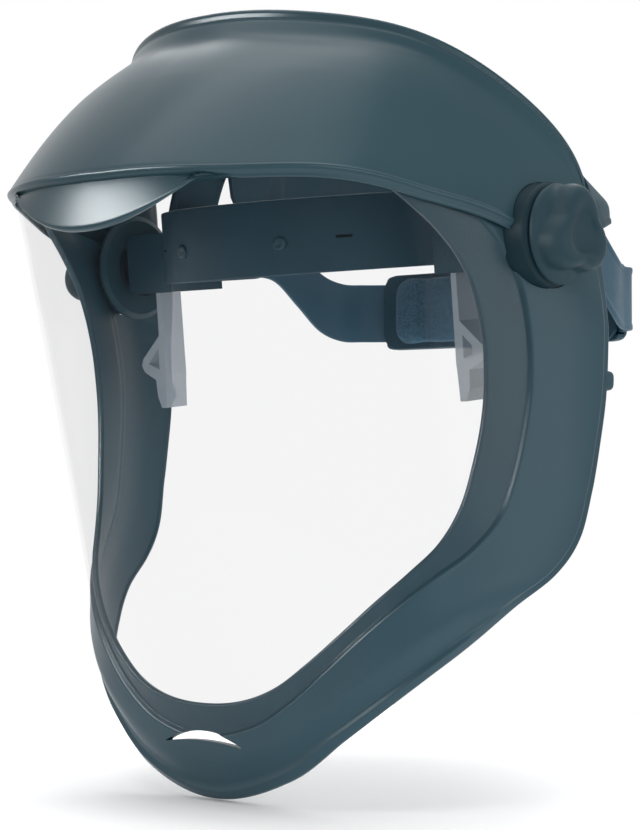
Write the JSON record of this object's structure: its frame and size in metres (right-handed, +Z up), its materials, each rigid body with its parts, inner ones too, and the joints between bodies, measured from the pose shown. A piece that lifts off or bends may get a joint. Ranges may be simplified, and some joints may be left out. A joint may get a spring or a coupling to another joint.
{
  "type": "face shield",
  "caption": "Full-face shield: curved clear window in a chin frame under a deep brow guard, lifting on side pivots of a ratchet headgear.",
  "frame": {"origin": "midpoint between the two side pivots, inside the head space, on the pivot axis", "axes": "+Z up as worn, -Y to the front through the window, +X to the wearer's left along the pivot axis"},
  "size_m": [0.2744, 0.2946, 0.3143],
  "materials": {
    "shell": "satin moulded",
    "clear": "clear polished sheet",
    "pivot": "satin moulded",
    "band": "satin moulded",
    "foam": "brushed cloth over foam",
    "detent": "satin moulded",
    "trim": "satin moulded",
    "gear": "moulded",
    "steel": "zinc plated",
    "brass": "machined"
  },
  "bodies": {
    "headgear": {"front_band": "band", "sweatband": "foam", "bracket_left": "band", "bracket_right": "band", "stud_left": "steel", "stud_right": "steel", "washer_left": "trim", "washer_right": "trim", "detent_left": "detent", "detent_right": "detent", "band_rivets": "trim", "strap_left": "band", "strap_right": "band", "strap_buttons": "trim", "rear_hoop": "band", "nape_strap_left": "band", "nape_strap_right": "band"},
    "visor": {"crown": "shell", "chin_frame": "shell", "window": "clear", "boss_left": "pivot", "boss_right": "pivot", "retainer_left": "pivot", "retainer_right": "pivot"},
    "pivot_knob_left": {"knob_left": "pivot", "knob_left_nut": "brass"},
    "pivot_knob_right": {"knob_right": "pivot", "knob_right_nut": "brass"},
    "rear_unit": {"ratchet_housing": "band", "ratchet_cover": "band", "nape_pad": "foam", "ratchet_screws": "steel", "pawl_spring": "steel"},
    "size_knob": {"ratchet_knob": "pivot", "pinion": "gear", "knob_screw": "steel"},
    "rack_l": {"rack_left": "gear"},
    "rack_r": {"rack_right": "gear"}
  },
  "joints": [
    {"name": "visor_lift", "type": "hinge", "parent": "headgear", "child": "visor", "pos_m": [0, 0, 0], "axis": [-1, 0, 0], "range_deg": [0, 72]},
    {"name": "knob_left_turn", "type": "hinge", "parent": "headgear", "child": "pivot_knob_left", "pos_m": [0.127, 0, 0], "axis": [1, 0, 0], "continuous": true},
    {"name": "knob_right_turn", "type": "hinge", "parent": "headgear", "child": "pivot_knob_right", "pos_m": [-0.127, 0, 0], "axis": [-1, 0, 0], "continuous": true},
    {"name": "rear_slide", "type": "slide", "parent": "headgear", "child": "rear_unit", "axis": [0, -1, 0], "range_m": [0, 0.0203], "deforming": ["nape_strap_left", "nape_strap_right"]},
    {"name": "size_turn", "type": "hinge", "parent": "rear_unit", "child": "size_knob", "pos_m": [0, 0.15, -0.0155], "axis": [0, -1, 0], "range_deg": [0, 240]},
    {"name": "rack_left_slide", "type": "slide", "parent": "rear_unit", "child": "rack_l", "axis": [-1, 0, 0], "range_m": [0, 0.0253]},
    {"name": "rack_right_slide", "type": "slide", "parent": "rear_unit", "child": "rack_r", "axis": [1, 0, 0], "range_m": [0, 0.0253]}
  ],
  "couplings": [
    {"joint": "rear_slide", "follows": "size_turn", "m_per_rad": 0.0048},
    {"joint": "rack_left_slide", "follows": "size_turn", "m_per_rad": 0.006},
    {"joint": "rack_right_slide", "follows": "size_turn", "m_per_rad": 0.006}
  ]
}
